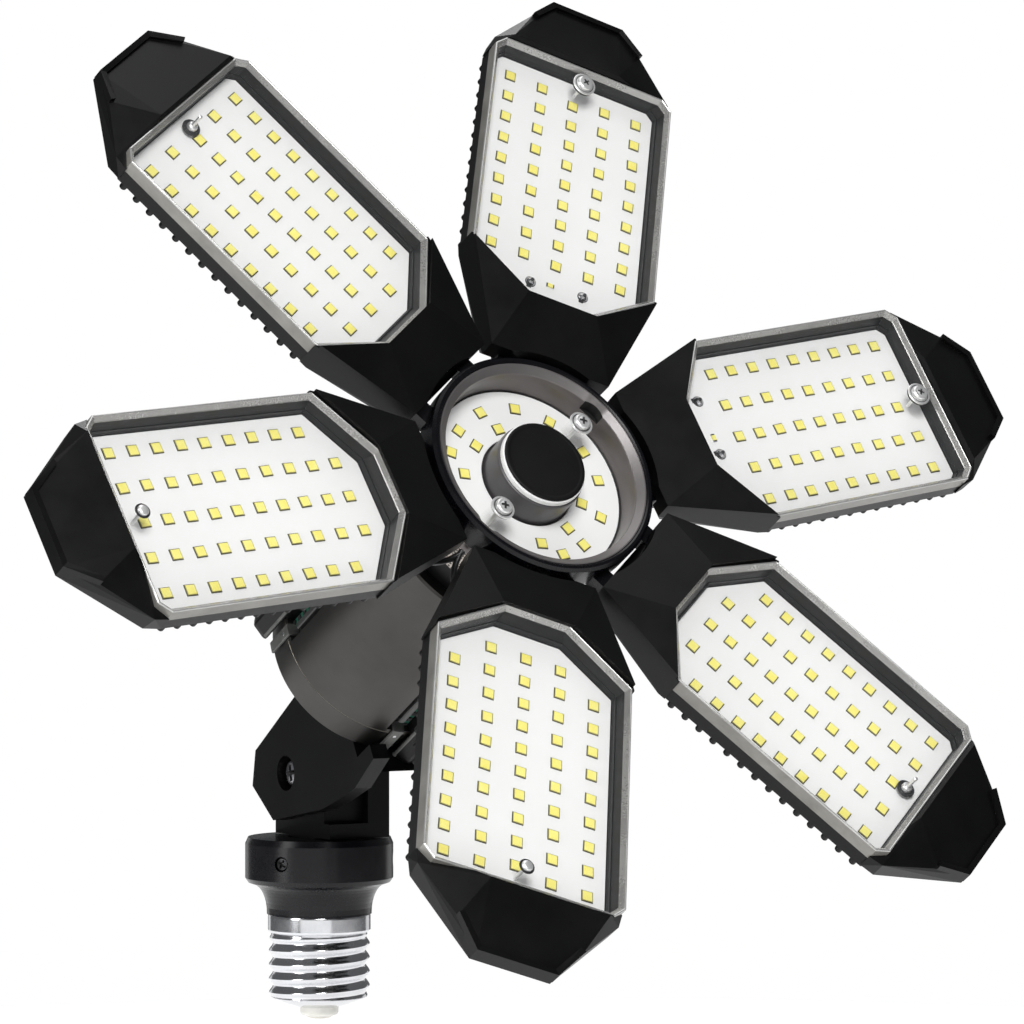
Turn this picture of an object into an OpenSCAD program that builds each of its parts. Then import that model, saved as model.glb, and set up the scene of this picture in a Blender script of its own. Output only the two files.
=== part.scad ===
// Six-leaf folding LED garage light on an E26 screw cap.
// Origin: on the cap's axis, where the metal shell meets the black collar. +Z runs up
// from the cap into the neck. The head leans towards +X; the neck pivot lies along Y.

/* [Screw cap] */
// Diameter of the plain skirt of the metal shell
skirt_d = 26.6; // [26.4:0.1:27]
// Diameter over the thread crests
crest_d = 26.2; // [26.0:0.1:26.3]
// Thread pitch, seven turns to the inch
pitch = 3.629; // [3.6:0.001:3.65]
// Height of the plain skirt
skirt_h = 4.8; // [4:0.1:5.4]

/* [Collar and neck] */
// Diameter of the collar band
collar_d = 38.4; // [37:0.1:40]
// Height of the top of the collar
collar_h = 19.9; // [19.4:0.1:20]
// Height of the neck pivot
pivot_z = 36.6; // [36.5:0.1:38]
// Thickness of the arm's cheek
cheek_t = 4.7; // [4.4:0.1:4.8]
// Tilt of the head from upright, as it rests
tilt = 60.2; // [0:0.1:90]

/* [Housing] */
// Radius of the barrel at the rear seam
barrel_r = 26.8; // [26:0.1:27.4]
// Wall of the barrel
barrel_wall = 1.8; // [1.4:0.1:2.4]
// Outer radius of the vent rails
rail_r = 31; // [29:0.1:31.5]

/* [Hub] */
// Outer radius of the hinge ring
ring_r = 29.6; // [29.2:0.1:29.6]
// Radius of the hub LED board
hub_board_r = 25.2; // [24:0.1:25.2]

/* [Leaves] */
// Angle that the leaves stand forward of flat, as they rest
leaf_fwd = 3; // [0:0.5:4]
// Distance from the hub axis to each leaf hinge
hinge_r = 32.5; // [32.4:0.1:33]
// Half width of a leaf over its frame
leaf_hw = 25.2; // [24.6:0.1:25.6]
// Spacing of the LED columns
led_dx = 9; // [8.6:0.1:9]
// Spacing of the LED rows
led_dy = 6.53; // [6.2:0.01:6.53]
// Size of an LED package
led_s = 2.8; // [2.4:0.1:2.9]
// Number of fins on the back of a leaf
fins = 14; // [10:1:14]

/* [Hidden] */
$fn = 48;

// colours as seen
c_black = [0.05, 0.05, 0.055];
c_dark = [0.16, 0.16, 0.17];
c_gun = [0.33, 0.31, 0.29];
c_chrome = [0.82, 0.83, 0.85];
c_white = [0.93, 0.94, 0.94];
c_clear = [0.75, 0.78, 0.8, 0.45];
c_grey = [0.55, 0.54, 0.52];

// LEDs round the hub: distance from the head's axis, and direction
hub_leds = [[20.4, 172], [20.4, 145], [20.4, 114], [20.4, 91], [20.4, 61], [20.4, 31], [20.4, 11], [20.4, -35],
  [20.4, -66], [20.4, -113], [20.4, -133], [20.4, -159], [14.9, 66], [14.9, 30], [14.9, -131], [14.9, -166], [17, -4], [17, -97]];
// the neck pivot seen from the head: offset across its axis, and distance behind the hub plane
piv_x = 14.7;
piv_d = 130.8;
// hub centre in the row frame, worked out from the pivot
hub_x = piv_d * sin(tilt) - piv_x * cos(tilt);
hub_z = pivot_z + piv_d * cos(tilt) + piv_x * sin(tilt);
hinge_w = -3.5;      // hinge axis below the LED plane
roll = 158.5;        // direction of leaf 1 about the head's axis
cam_side = -51.5;    // middle of the barrel panel between two vent rails
y_in = -10;          // outer face of the cheek
y_arm = 10;          // far face of the arm where it meets the housing
y_out = 12.6;        // far face of the knuckle
gap = 0.3;

module head() translate([hub_x, 0, hub_z]) rotate([0, tilt, 0]) children();
module leaf(k) head() rotate([0, 0, roll - 60 * (k - 1) - 90])
  translate([0, hinge_r, hinge_w]) rotate([leaf_fwd, 0, 0]) translate([0, -hinge_r, -hinge_w]) children();
// a convex solid on the given corner points
module solid_on(p) hull() for (q = p) translate(q) cube(0.02, center = true);
module pair() { children(); mirror([1, 0, 0]) children(); }

// ---------------------------------------------------------------- cap and collar
module screw_shell() color(c_chrome) difference() {
  union() {
    translate([0, 0, -skirt_h]) cylinder(h = skirt_h, r = skirt_d / 2);
    translate([0, 0, -21.4]) cylinder(h = 21.4 - skirt_h + 0.01, r = crest_d / 2 - 1.0);
    translate([0, 0, -24]) cylinder(h = 2.6, r1 = 5.8, r2 = crest_d / 2 - 1.0);
    for (i = [0:3]) translate([0, 0, -8.6 - i * pitch]) rotate_extrude()
      translate([crest_d / 2 - 1.15, 0]) circle(r = 1.15);
  }
  translate([0, 0, -20.9]) cylinder(h = 22, r = 11.3);
  translate([0, 0, -25]) cylinder(h = 5, r = 5.03);
}
module cap_insulator() color(c_dark) {
  translate([0, 0, -26.4]) cylinder(h = 0.6, r1 = 4.4, r2 = 5);
  translate([0, 0, -25.81]) cylinder(h = 5.5, r = 5);
  translate([0, 0, -20.87]) cylinder(h = 2.4, r = 9.2);
}
module centre_contact() color(c_chrome) {
  translate([0, 0, -27.4]) cylinder(h = 0.5, r1 = 2.6, r2 = 3.6);
  translate([0, 0, -26.91]) cylinder(h = 0.5, r = 3.6);
}
// concave flare from the skirt up to the band
function flare() = [for (i = [0:8]) let (a = i * 10) [13.6 + 4.0 * (1 - cos(a)), 0.4 + 7.4 * sin(a)]];
module base_collar() color(c_black) difference() {
  union() {
    rotate_extrude() polygon(concat([[0, 0], [13.6, 0]], flare(),
      [[collar_d / 2 - 0.8, 8.2], [collar_d / 2, 9.4], [collar_d / 2, collar_h - 1.6], [collar_d / 2 - 0.7, collar_h], [0, collar_h]]));
    translate([0, 0, -9]) cylinder(h = 9.01, r = 11.2);
  }
  translate([0, 0, 7]) cylinder(h = 20, r = 8.05);
  translate([0, 0, -10]) cylinder(h = 18, r = 5);
  for (a = [-60, 60, 180]) rotate([0, 0, a]) translate([6, 0, 14]) rotate([0, 90, 0]) cylinder(h = 20, r = 1.95);
}
module set_screws() color(c_dark) for (a = [-60, 60, 180]) rotate([0, 0, a]) {
  translate([9, 0, 14]) rotate([0, 90, 0]) cylinder(h = collar_d / 2 - 9.3, r = 1.9);
  translate([7.1, 0, 14]) rotate([0, 90, 0]) cylinder(h = 1.95, r = 0.8);
}

// ---------------------------------------------------------------- neck
module knuckle_side() {
  intersection() {
    translate([0, pivot_z]) circle(r = 16, $fn = 96);
    translate([-14.4, pivot_z - 20]) square([28.8, 40]);
  }
  translate([-14.4, collar_h + gap]) square([28.8, pivot_z - collar_h - gap]);
}
module neck_knuckle() color(c_black) difference() {
  union() {
    intersection() {
      translate([0, y_out, 0]) rotate([90, 0, 0]) linear_extrude(y_out - y_in - cheek_t - gap) knuckle_side();
      cylinder(h = 80, r = collar_d / 2);
    }
    translate([0, 0, 9.5]) cylinder(h = collar_h - 0.2 - 9.5, r = 8);
    intersection() {
      translate([0, 0, 9.5]) cylinder(h = collar_h + gap + 1 - 9.5, r = 8);
      translate([-10, y_in + cheek_t + gap, 0]) cube([20, 20, 40]);
    }
  }
  // relief on the side that the head folds down over
  translate([11.4, y_in, 24]) cube([10, 6.2 - y_in, 40]);
  // groove that the set screws ride in
  translate([0, 0, 12.9]) difference() { cylinder(h = 2.2, r = 9); translate([0, 0, -1]) cylinder(h = 5, r = 6.9); }
  translate([0, 0, 9]) cylinder(h = 16, r = 4);
  translate([0, 20, pivot_z]) rotate([90, 0, 0]) cylinder(h = 40, r = 2.55);
  translate([0, y_out + 1, pivot_z]) rotate([90, 0, 0]) cylinder(h = 4.6, r = 5.05, $fn = 6);
}
module pivot_screw() color(c_chrome) translate([0, 0, pivot_z]) rotate([90, 0, 0]) {
  translate([0, 0, 6.5]) cylinder(h = 2.4, r = 3.4);
  translate([0, 0, -y_out + 0.6]) cylinder(h = y_out - 0.6 + 6.55, r = 2.5);
}
module pivot_nut() color(c_chrome) translate([0, y_out - 0.2, pivot_z]) rotate([90, 0, 0]) difference() {
  cylinder(h = 3.2, r = 4.95, $fn = 6);
  translate([0, 0, -1]) cylinder(h = 6, r = 2.52);
}
// outline of the arm: x is across the head's axis, y is along it, both from the pivot
module arm_outline() polygon([[-12.5, -11.6], [-15.2, 16.2], [-16.8, 35.2], [13.2, 35.2], [13.2, 42.2], [17.2, 42.2], [19.4, 30.3], [18, 20], [16.4, 12], [7.6, -12], [-5.2, -17.6]]);
module neck_arm() color(c_black) head() translate([piv_x, 0, -piv_d]) difference() {
  union() {
    translate([0, y_in + cheek_t, 0]) rotate([90, 0, 0]) linear_extrude(cheek_t) arm_outline();
    translate([0, y_arm, 0]) rotate([90, 0, 0]) linear_extrude(y_arm - y_in)
      polygon([[-15.3, 17], [-16.8, 35.2], [17.5, 35.2], [8.4, 19.4], [3, 17]]);
  }
  // recess for the screw's head, and the pivot hole
  translate([0, y_in + 3.6, 0]) rotate([90, 0, 0]) cylinder(h = 10, r = 4.55);
  translate([0, 20, 0]) rotate([90, 0, 0]) cylinder(h = 40, r = 2.55);
  // way for the supply leads
  translate([-piv_x + 8, 3, 16]) cylinder(h = 30, r = 3);
}

// ---------------------------------------------------------------- housing
module rear_cover() color(c_gun) head() difference() {
  rotate_extrude() polygon([[0, -95.6], [25.2, -95.6], [25.9, -95.0], [barrel_r, -85.8],
    [barrel_r - barrel_wall, -85.8], [barrel_r - barrel_wall - 0.6, -92.4], [0, -92.4]]);
  translate([8, 3, -97]) cylinder(h = 6, r = 3);
}
module rear_housing() color(c_gun) head() difference() {
  rotate_extrude() polygon([[23.7, -28], [26.0, -28], [26.5, -28.6], [barrel_r, -85.6],
    [barrel_r - barrel_wall, -85.6], [26.5 - barrel_wall, -29.8], [23.7, -29.8]]);
  for (i = [0:2]) rotate([0, 0, cam_side + 60 + 120 * i]) translate([15, -10.5, -84.2]) cube([20, 21, 48.2]);
}
// a bar along the barrel at angle a, from radius r0 to r1
module bar(a, w, r0, r1, z0, z1) rotate([0, 0, a]) translate([r0, -w / 2, z0]) cube([r1 - r0, w, z1 - z0]);
// the rail over the arm ends where the arm begins
module vent_rail(end = 96.4) {
  // floor of the slot
  rotate([0, 0, -24]) rotate_extrude(angle = 48) translate([22.6, -86.4]) square([1.8, 52.6]);
  // black rib with sloping cheeks, running on over the rear cover
  translate([0, 0, -84]) linear_extrude(47.8) polygon([[24.3, -4.4], [27.6, -4.4], [rail_r, -1.5], [rail_r, 1.5], [27.6, 4.4], [24.3, 4.4]]);
  translate([0, 0, -end]) linear_extrude(end - 83.9) polygon([[27.1, -4.4], [27.6, -4.4], [rail_r, -1.5], [rail_r, 1.5], [27.6, 4.4], [27.1, 4.4]]);
  // grey strips, and their clips over the rear cover
  for (s = [-1, 1]) {
    bar(s * 17.5, 3.2, 24.2, 26.4, -81, -36.3);
    bar(s * 16.5, 3.2, 26.85, 27.5, -93.6, -83.4);
    bar(s * 16.5, 3.2, 24.2, 27.4, -84.1, -83.4);
  }
}
module vent_rails() color(c_dark) head() for (i = [0:2]) rotate([0, 0, cam_side + 60 + 120 * i]) vent_rail(i == 0 ? 95.5 : 96.4);
module mesh_sleeve() color(c_grey) head() rotate_extrude()
  polygon([[22.4, -9.1], [24.6, -9.1], [24.6, -20], [23.4, -20.5], [23.4, -28.2], [22.4, -28.2]]);
module driver_board() color([0.1, 0.35, 0.22]) head() {
  translate([-17, -0.8, -80]) cube([34, 1.6, 56]);
  translate([-10, 0.7, -52]) cube([20, 13, 18]);
  translate([4, 7, -76]) cylinder(h = 20, r = 6.2);
  translate([-12, 0.7, -76]) cube([9, 9, 12]);
  translate([-13, -5.7, -70]) cube([12, 5, 8]);
}

// ---------------------------------------------------------------- hub
module hub_ring() color(c_black) head() difference() {
  union() {
    rotate_extrude() polygon([[27.8, -5], [29.0, -5], [ring_r, -4.2], [ring_r, 2.4], [28.9, 3.1], [28.2, 3.1], [27.8, 2.8]]);
    for (k = [1:6]) rotate([0, 0, roll - 60 * (k - 1) - 90]) pair() difference() {
      union() {
        translate([7.3, 24, hinge_w - 1.8]) cube([5, hinge_r - 24, 3.6]);
        translate([7.3, hinge_r, hinge_w]) rotate([0, 90, 0]) cylinder(h = 5, r = 2.4);
      }
      translate([0, 0, -20]) cylinder(h = 40, r = 28.4);
    }
  }
  for (k = [1:6]) rotate([0, 0, roll - 60 * (k - 1) - 90]) translate([-15, hinge_r, hinge_w]) rotate([0, 90, 0]) cylinder(h = 30, r = 1.52);
}
module hinge_pins() color(c_chrome) head() for (k = [1:6]) rotate([0, 0, roll - 60 * (k - 1) - 90])
  translate([-12.3, hinge_r, hinge_w]) rotate([0, 90, 0]) cylinder(h = 24.6, r = 1.5);
module hub_reflector() color(c_gun) head() difference() {
  union() {
    rotate_extrude() polygon([[8, -9], [27.7, -9], [27.7, 2.9], [25.5, 1.5], [25.4, -7.4], [8, -7.4]]);
    for (s = [0, 180]) rotate([0, 0, cam_side + s]) translate([18.8, 0, -7.5]) cylinder(h = 9, r = 3.1);
  }
  for (s = [0, 180]) rotate([0, 0, cam_side + s]) translate([18.8, 0, -12]) cylinder(h = 20, r = 1.5);
}
module hub_led_board() color(c_white) head() {
  difference() {
    translate([0, 0, -7.35]) cylinder(h = 1.15, r = hub_board_r);
    translate([0, 0, -8]) cylinder(h = 3, r = 12.1);
    for (s = [0, 180]) rotate([0, 0, cam_side + s]) translate([18.8, 0, -9]) cylinder(h = 6, r = 3.3);
  }
  for (q = hub_leds) rotate([0, 0, q[1]]) translate([q[0] - led_s / 2, -led_s / 2, -6.3]) cube([led_s, led_s, 0.8]);
}
module centre_post() color(c_grey) head() translate([0, 0, -8.95]) {
  cylinder(h = 10.2, r = 7.9);
  translate([0, 0, 1.6]) cylinder(h = 8.6, r = 11.5);
}
module post_ring() color(c_white) head() translate([0, 0, 1.26]) cylinder(h = 1.55, r = 11.05);
module post_cap() color(c_black) head() {
  translate([0, 0, 2.82]) cylinder(h = 0.4, r = 10.7);
  translate([0, 0, 3.21]) cylinder(h = 0.25, r1 = 10.7, r2 = 10.3);
}
module hub_screws() color(c_chrome) head() for (s = [0, 180]) rotate([0, 0, cam_side + s]) translate([18.8, 0, 0]) {
  translate([0, 0, 1.51]) cylinder(h = 0.5, r = 3.05);
  translate([0, 0, 2.0]) cylinder(h = 1.1, r = 2.4);
  translate([0, 0, -8.9]) cylinder(h = 11, r = 1.45);
}

// ---------------------------------------------------------------- leads to the leaves
// Route of one lead beside its hinge, in the unfolded leaf's frame.
lead_route = [[14.6, 24.6, -7.4], [15, 26.2, -8.2], [15.4, 28.6, -9], [15.5, 31.4, -9.3], [15.2, 34.4, -9.2], [14.8, 37.2, -8.6], [14.6, 39, -7.4], [14.5, 39.8, -5.6], [14.4, 39.9, -3.8], [14.4, 39.9, -1.8]];
lead_r = 0.75;
function sub(a, b) = [a[0] - b[0], a[1] - b[1], a[2] - b[2]];
function unit(v) = v / norm(v);
function along(r, i) = unit(sub(r[min(i + 1, len(r) - 1)], r[max(i - 1, 0)]));
function rings(r, n, rad) = [for (i = [0:len(r) - 1]) let (t = along(r, i), s = unit(cross(t, [1, 0, 0])), q = cross(t, s))
  for (j = [0:n - 1]) r[i] + rad * (cos(360 * j / n) * s + sin(360 * j / n) * q)];
module tube(r, n, rad) polyhedron(points = rings(r, n, rad), convexity = 4,
  faces = concat([[for (j = [0:n - 1]) j]], [[for (j = [0:n - 1]) len(r) * n - 1 - j]],
    [for (i = [0:len(r) - 2], j = [0:n - 1]) [i * n + j, (i + 1) * n + j, (i + 1) * n + (j + 1) % n, i * n + (j + 1) % n]]));
module leaf_leads() color(c_black) for (k = [1:6]) leaf(k) mirror([hand(k) < 0 ? 1 : 0, 0, 0]) tube(lead_route, 8, lead_r);

// ---------------------------------------------------------------- leaf pieces, in the leaf's own frame
// leaves 2, 5 and 6 are mirror images of the others
function hand(k) = (k == 2 || k >= 5) ? -1 : 1;
// outline of the frame, grown by g
function leaf_outline(g = 0) = [[-8.2 - g * 0.3, 45.8 - g], [8.2 + g * 0.3, 45.8 - g], [leaf_hw + g, 57.6 - g * 0.55],
  [leaf_hw + g, 118.2 + g * 0.4], [leaf_hw - 2.8 + g * 0.4, 121 + g], [-leaf_hw + 2.8 - g * 0.4, 121 + g], [-leaf_hw - g, 118.2 + g * 0.4], [-leaf_hw - g, 57.6 - g * 0.55]];
function board_outline(g = 0) = [[-8.6 - g * 0.3, 49 - g], [8.6 + g * 0.3, 49 - g], [22.6 + g, 58.5 - g * 0.55],
  [22.6 + g, 117.4 + g * 0.4], [20.7 + g * 0.4, 119.3 + g], [-20.7 - g * 0.4, 119.3 + g], [-22.6 - g, 117.4 + g * 0.4], [-22.6 - g, 58.5 - g * 0.55]];
row_root = 55.34;
module slab(o, z0, z1) translate([0, 0, z0]) linear_extrude(z1 - z0) polygon(o);

module heatsink() color(c_black) difference() {
  union() {
    difference() { slab(leaf_outline(), -2.8, 1.0); slab(board_outline(0.3), -1.8, 2); }
    for (i = [0:fins - 1]) translate([0, 60.3 + i * 4.3, 0]) {
      translate([1.1 - leaf_hw, -0.9, -4.6]) cube([2 * leaf_hw - 2.2, 1.8, 2.2]);
      for (s = [-1, 1]) translate([s * (leaf_hw - 1.1), 0, -4.6]) cylinder(h = 2.2, r = 0.9);
    }
  }
  translate([0, 115.6, -6]) cylinder(h = 6, r = 1.22);
}
module led_board(rows = 10) color(c_white) {
  difference() { slab(board_outline(), -1.8, -0.6); translate([0, 115.6, -3]) cylinder(h = 4, r = 1.4); }
  for (c = [-2:2], r = [0:rows - 1]) if (!(abs(c) == 2 && r == 9))
    translate([c * led_dx - led_s / 2, row_root + (9 - r) * led_dy - led_s / 2 - (c == 0 ? 1.9 * (1 - r / 9) : 0), -0.8]) cube([led_s, led_s, 0.9]);
}
module cover() color(c_clear) difference() {
  slab(leaf_outline(), 1.0, 5.0);
  slab(board_outline(0.7), 0.5, 3.6);
  translate([0, 115.6, 0]) cylinder(h = 8, r = 1.5);
}
// kind 0 has a washer over the window, kind 1 sits under it and carries a pin, kind 2 has a small head over it
module cover_screw(kind) color(c_chrome) translate([0, 115.6, 0]) {
  if (kind == 0) {
    translate([0, 0, 5.01]) cylinder(h = 0.4, r = 3.1);
    translate([0, 0, 5.4]) cylinder(h = 1.0, r = 2.3);
    translate([0, 0, -4.6]) cylinder(h = 10.1, r = 1.2);
  }
  if (kind == 1) {
    translate([0, 0, 0.3]) cylinder(h = 0.5, r = 2.3);
    translate([0, 0, 0.7]) cylinder(h = 1.2, r = 1.6);
    translate([0, 0, 1.8]) cylinder(h = 3.9, r = 0.5);
    translate([0, 0, -4.6]) cylinder(h = 5, r = 1.2);
  }
  if (kind == 2) {
    translate([0, 0, 5.01]) cylinder(h = 0.3, r = 1.9);
    translate([0, 0, 5.3]) cylinder(h = 0.7, r = 1.4);
    translate([0, 0, -4.6]) cylinder(h = 10, r = 1.2);
  }
}
module root_cap(hand) color(c_black) mirror([hand < 0 ? 1 : 0, 0, 0]) difference() {
  union() {
    difference() {
      solid_on([[-25.4, 57.4, 6.1], [25.4, 57.4, 6.1], [-9.4, 46.4, 6.1], [9.4, 46.4, 6.1], [-16, 30.2, 2.3], [16, 30.2, 2.3],
        [-25.7, 58.2, 4.6], [25.7, 58.2, 4.6], [-25.7, 58.2, -2.6], [25.7, 58.2, -2.6], [-25, 56.2, -3.4], [25, 56.2, -3.4],
        [-16, 31.5, -4.6], [16, 31.5, -4.6], [-16, 30.2, -3], [16, 30.2, -3]]);
      // the leaf's own frame, and the open window in front of it
      slab(leaf_outline(0.05), -9, 5.05);
      slab([[-40, 66.9], [-9.4, 46.4], [9.4, 46.4], [40, 66.9]], 5, 9);
      // hollow of the cap, open at the back
      slab([[-9, 45.2], [-9, 38.6], [9, 38.6], [9, 45.2]], -9, 3);
      // round front edge along the hub ring
      translate([0, 0, -20]) cylinder(h = 40, r = 32);
      // room for the ring's lugs
      translate([-12.7, hinge_r, hinge_w]) rotate([0, 90, 0]) cylinder(h = 25.4, r = 2.85);
      slab([[-12.7, 28], [12.7, 28], [12.7, hinge_r], [-12.7, hinge_r]], -9, hinge_w + 2.5);
      // notch for the lead
      slab([[13, 36.4], [15.8, 36.4], [15.8, 41.4], [13, 41.4]], -9, -1.5);
    }
    translate([-6.95, hinge_r, hinge_w]) rotate([0, 90, 0]) cylinder(h = 13.9, r = 2.4);
    translate([-6.95, hinge_r, hinge_w - 1.7]) cube([13.9, 6.5, 3.4]);
  }
  translate([-15, hinge_r, hinge_w]) rotate([0, 90, 0]) cylinder(h = 30, r = 1.55);
}
module tip_cap(hand) color(c_black) mirror([hand < 0 ? 1 : 0, 0, 0]) difference() {
  union() {
    solid_on([[-20.7, 121.9, 6.1], [9, 121.9, 6.1], [-15.3, 132.6, 3.4], [15.3, 132.6, 3.4], [-9.8, 139.4, 2.2], [9.8, 139.4, 2.2],
      [-24.7, 121.7, 2.4], [25.2, 121.7, 2.4], [-25.6, 118, 2.2], [25.6, 118, 2.2], [-25.6, 118, -2.0], [25.6, 118, -2.0],
      [-24.4, 121.8, -3.0], [24.4, 121.8, -3.0], [-9.9, 139.4, -1.0], [9.9, 139.4, -1.0]]);
    // raised lip round the end
    pair() solid_on([[15.6, 132.4, 4.9], [14.3, 131.8, 4.9], [10, 139.5, 3.3], [9.1, 138.1, 3.3], [15.6, 132.4, 0], [14.3, 131.8, 0], [10, 139.5, 0], [9.1, 138.1, 0]]);
    solid_on([[10, 139.5, 3.3], [-10, 139.5, 3.3], [9.1, 138.1, 3.3], [-9.1, 138.1, 3.3], [10, 139.5, 0], [-10, 139.5, 0], [9.1, 138.1, 0], [-9.1, 138.1, 0]]);
  }
  slab(leaf_outline(0.05), -9, 7);
}

screw_shell();
cap_insulator();
centre_contact();
base_collar();
set_screws();
neck_knuckle();
pivot_screw();
pivot_nut();
neck_arm();
rear_cover();
rear_housing();
vent_rails();
mesh_sleeve();
hub_ring();
hub_reflector();
hub_led_board();
centre_post();
post_ring();
post_cap();
hub_screws();
hinge_pins();
driver_board();
leaf_leads();
leaf(1) heatsink();  // leaf_1_heatsink
leaf(1) led_board(9);  // leaf_1_led_board
leaf(1) cover();  // leaf_1_cover
leaf(1) root_cap(hand(1));  // leaf_1_root_cap
leaf(1) tip_cap(hand(1));  // leaf_1_tip_cap
leaf(1) cover_screw(0);  // leaf_1_screw
leaf(2) heatsink();  // leaf_2_heatsink
leaf(2) led_board(9);  // leaf_2_led_board
leaf(2) cover();  // leaf_2_cover
leaf(2) root_cap(hand(2));  // leaf_2_root_cap
leaf(2) tip_cap(hand(2));  // leaf_2_tip_cap
leaf(2) cover_screw(0);  // leaf_2_screw
leaf(3) heatsink();  // leaf_3_heatsink
leaf(3) led_board();  // leaf_3_led_board
leaf(3) cover();  // leaf_3_cover
leaf(3) root_cap(hand(3));  // leaf_3_root_cap
leaf(3) tip_cap(hand(3));  // leaf_3_tip_cap
leaf(3) cover_screw(1);  // leaf_3_screw
leaf(4) heatsink();  // leaf_4_heatsink
leaf(4) led_board();  // leaf_4_led_board
leaf(4) cover();  // leaf_4_cover
leaf(4) root_cap(hand(4));  // leaf_4_root_cap
leaf(4) tip_cap(hand(4));  // leaf_4_tip_cap
leaf(4) cover_screw(2);  // leaf_4_screw
leaf(5) heatsink();  // leaf_5_heatsink
leaf(5) led_board();  // leaf_5_led_board
leaf(5) cover();  // leaf_5_cover
leaf(5) root_cap(hand(5));  // leaf_5_root_cap
leaf(5) tip_cap(hand(5));  // leaf_5_tip_cap
leaf(5) cover_screw(2);  // leaf_5_screw
leaf(6) heatsink();  // leaf_6_heatsink
leaf(6) led_board();  // leaf_6_led_board
leaf(6) cover();  // leaf_6_cover
leaf(6) root_cap(hand(6));  // leaf_6_root_cap
leaf(6) tip_cap(hand(6));  // leaf_6_tip_cap
leaf(6) cover_screw(1);  // leaf_6_screw
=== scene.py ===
import bpy
import math
import random
from mathutils import Matrix, Vector
from mathutils.geometry import tessellate_polygon


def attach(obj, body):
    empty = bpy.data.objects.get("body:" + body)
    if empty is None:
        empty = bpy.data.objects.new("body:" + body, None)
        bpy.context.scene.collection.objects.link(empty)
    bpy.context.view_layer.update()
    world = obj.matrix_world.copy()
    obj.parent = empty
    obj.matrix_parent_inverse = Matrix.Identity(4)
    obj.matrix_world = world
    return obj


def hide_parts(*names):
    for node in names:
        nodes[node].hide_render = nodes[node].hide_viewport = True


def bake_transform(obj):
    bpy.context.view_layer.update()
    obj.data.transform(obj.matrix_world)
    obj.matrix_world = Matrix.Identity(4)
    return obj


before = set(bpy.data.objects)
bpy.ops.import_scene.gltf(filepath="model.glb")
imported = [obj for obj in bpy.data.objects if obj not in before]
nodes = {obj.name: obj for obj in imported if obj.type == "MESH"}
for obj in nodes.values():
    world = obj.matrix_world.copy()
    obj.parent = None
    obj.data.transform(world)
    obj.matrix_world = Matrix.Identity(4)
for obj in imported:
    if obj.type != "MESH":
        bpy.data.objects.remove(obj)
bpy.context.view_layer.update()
random.seed(7)

# ------------------------------------------------------------------ frame of the head and the leaves, in millimetres
MM = 0.001
TILT = math.radians(60.2)
HUB = Vector((130.8 * math.sin(TILT) - 14.7 * math.cos(TILT), 0, 36.6 + 130.8 * math.cos(TILT) + 14.7 * math.sin(TILT)))
HEAD = Matrix.Translation(HUB) @ Matrix.Rotation(TILT, 4, "Y")
ROLL = 158.5
HINGE_R, HINGE_W, FWD = 32.5, -3.5, 3.0
CAM_SIDE = -51.5


def leaf_m(k):
    h = Vector((0, HINGE_R, HINGE_W))
    return (HEAD @ Matrix.Rotation(math.radians(ROLL - 60 * (k - 1) - 90), 4, "Z") @ Matrix.Translation(h)
            @ Matrix.Rotation(math.radians(FWD), 4, "X") @ Matrix.Translation(-h))


def hand(k):
    return -1 if k in (2, 5, 6) else 1


# ------------------------------------------------------------------ node materials
def socket(node, *names):
    for n in names:
        if n in node.inputs:
            return node.inputs[n]
    raise KeyError(names)


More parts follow.
